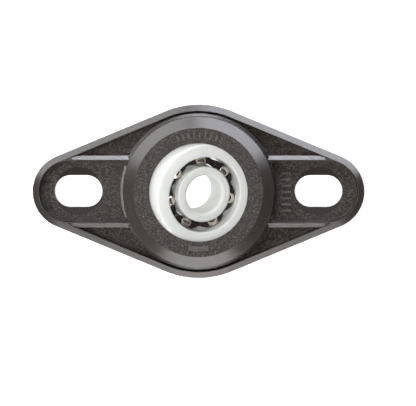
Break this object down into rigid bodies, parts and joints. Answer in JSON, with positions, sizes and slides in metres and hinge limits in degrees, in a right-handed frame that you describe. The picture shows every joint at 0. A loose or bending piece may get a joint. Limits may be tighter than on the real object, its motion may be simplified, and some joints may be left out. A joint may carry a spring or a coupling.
{
  "type": "flange mount bearing",
  "caption": "Diamond flange housing in black polymer with a white ball bearing that swivels in a spherical seat, so a misaligned shaft can run in it.",
  "frame": {"origin": "centre of the mounting face, on the hub's axis", "axes": "+X along the flange from slot to slot, +Z along the hub's axis away from the mounting face"},
  "size_m": [0.106, 0.0554, 0.0235],
  "materials": {
    "housing_polymer": "fine moulded grain, glass-filled",
    "ring_polymer": "smooth satin",
    "cage_polymer": "smooth moulded",
    "ball_steel": "polished stainless"
  },
  "bodies": {
    "housing": {"housing": "housing_polymer"},
    "outer_ring": {"outer_ring": "ring_polymer"},
    "inner_ring": {"inner_ring": "ring_polymer"},
    "cage": {"cage": "cage_polymer"},
    "ball_1": {"ball_1": "ball_steel"},
    "ball_2": {"ball_2": "ball_steel"},
    "ball_3": {"ball_3": "ball_steel"},
    "ball_4": {"ball_4": "ball_steel"},
    "ball_5": {"ball_5": "ball_steel"},
    "ball_6": {"ball_6": "ball_steel"},
    "ball_7": {"ball_7": "ball_steel"}
  },
  "joints": [
    {"name": "swivel", "type": "hinge", "parent": "housing", "child": "outer_ring", "pos_m": [0, 0, 0.012], "axis": [0.3746, 0.9272, 0], "range_deg": [-51, 2]},
    {"name": "shaft_spin", "type": "hinge", "parent": "outer_ring", "child": "inner_ring", "pos_m": [0, 0, 0.012], "axis": [0.3845, -0.1553, 0.91], "continuous": true},
    {"name": "cage_spin", "type": "hinge", "parent": "outer_ring", "child": "cage", "pos_m": [0, 0, 0.012], "axis": [0.3845, -0.1553, 0.91], "continuous": true},
    {"name": "ball_1_spin", "type": "hinge", "parent": "cage", "child": "ball_1", "pos_m": [0.0093, -0.00191, 0.00775], "axis": [0.3845, -0.1553, 0.91], "continuous": true},
    {"name": "ball_2_spin", "type": "hinge", "parent": "cage", "child": "ball_2", "pos_m": [0.00767, 0.00671, 0.0099], "axis": [0.3845, -0.1553, 0.91], "continuous": true},
    {"name": "ball_3_spin", "type": "hinge", "parent": "cage", "child": "ball_3", "pos_m": [0.00027, 0.01027, 0.01364], "axis": [0.3845, -0.1553, 0.91], "continuous": true},
    {"name": "ball_4_spin", "type": "hinge", "parent": "cage", "child": "ball_4", "pos_m": [-0.00734, 0.0061, 0.01614], "axis": [0.3845, -0.1553, 0.91], "continuous": true},
    {"name": "ball_5_spin", "type": "hinge", "parent": "cage", "child": "ball_5", "pos_m": [-0.00942, -0.00266, 0.01552], "axis": [0.3845, -0.1553, 0.91], "continuous": true},
    {"name": "ball_6_spin", "type": "hinge", "parent": "cage", "child": "ball_6", "pos_m": [-0.0044, -0.00942, 0.01225], "axis": [0.3845, -0.1553, 0.91], "continuous": true},
    {"name": "ball_7_spin", "type": "hinge", "parent": "cage", "child": "ball_7", "pos_m": [0.00392, -0.00908, 0.00879], "axis": [0.3845, -0.1553, 0.91], "continuous": true}
  ],
  "couplings": [
    {"joint": "cage_spin", "follows": "shaft_spin", "ratio": 0.38553},
    {"joint": "ball_1_spin", "follows": "shaft_spin", "ratio": -2.0695},
    {"joint": "ball_2_spin", "follows": "shaft_spin", "ratio": -2.0695},
    {"joint": "ball_3_spin", "follows": "shaft_spin", "ratio": -2.0695},
    {"joint": "ball_4_spin", "follows": "shaft_spin", "ratio": -2.0695},
    {"joint": "ball_5_spin", "follows": "shaft_spin", "ratio": -2.0695},
    {"joint": "ball_6_spin", "follows": "shaft_spin", "ratio": -2.0695},
    {"joint": "ball_7_spin", "follows": "shaft_spin", "ratio": -2.0695}
  ]
}
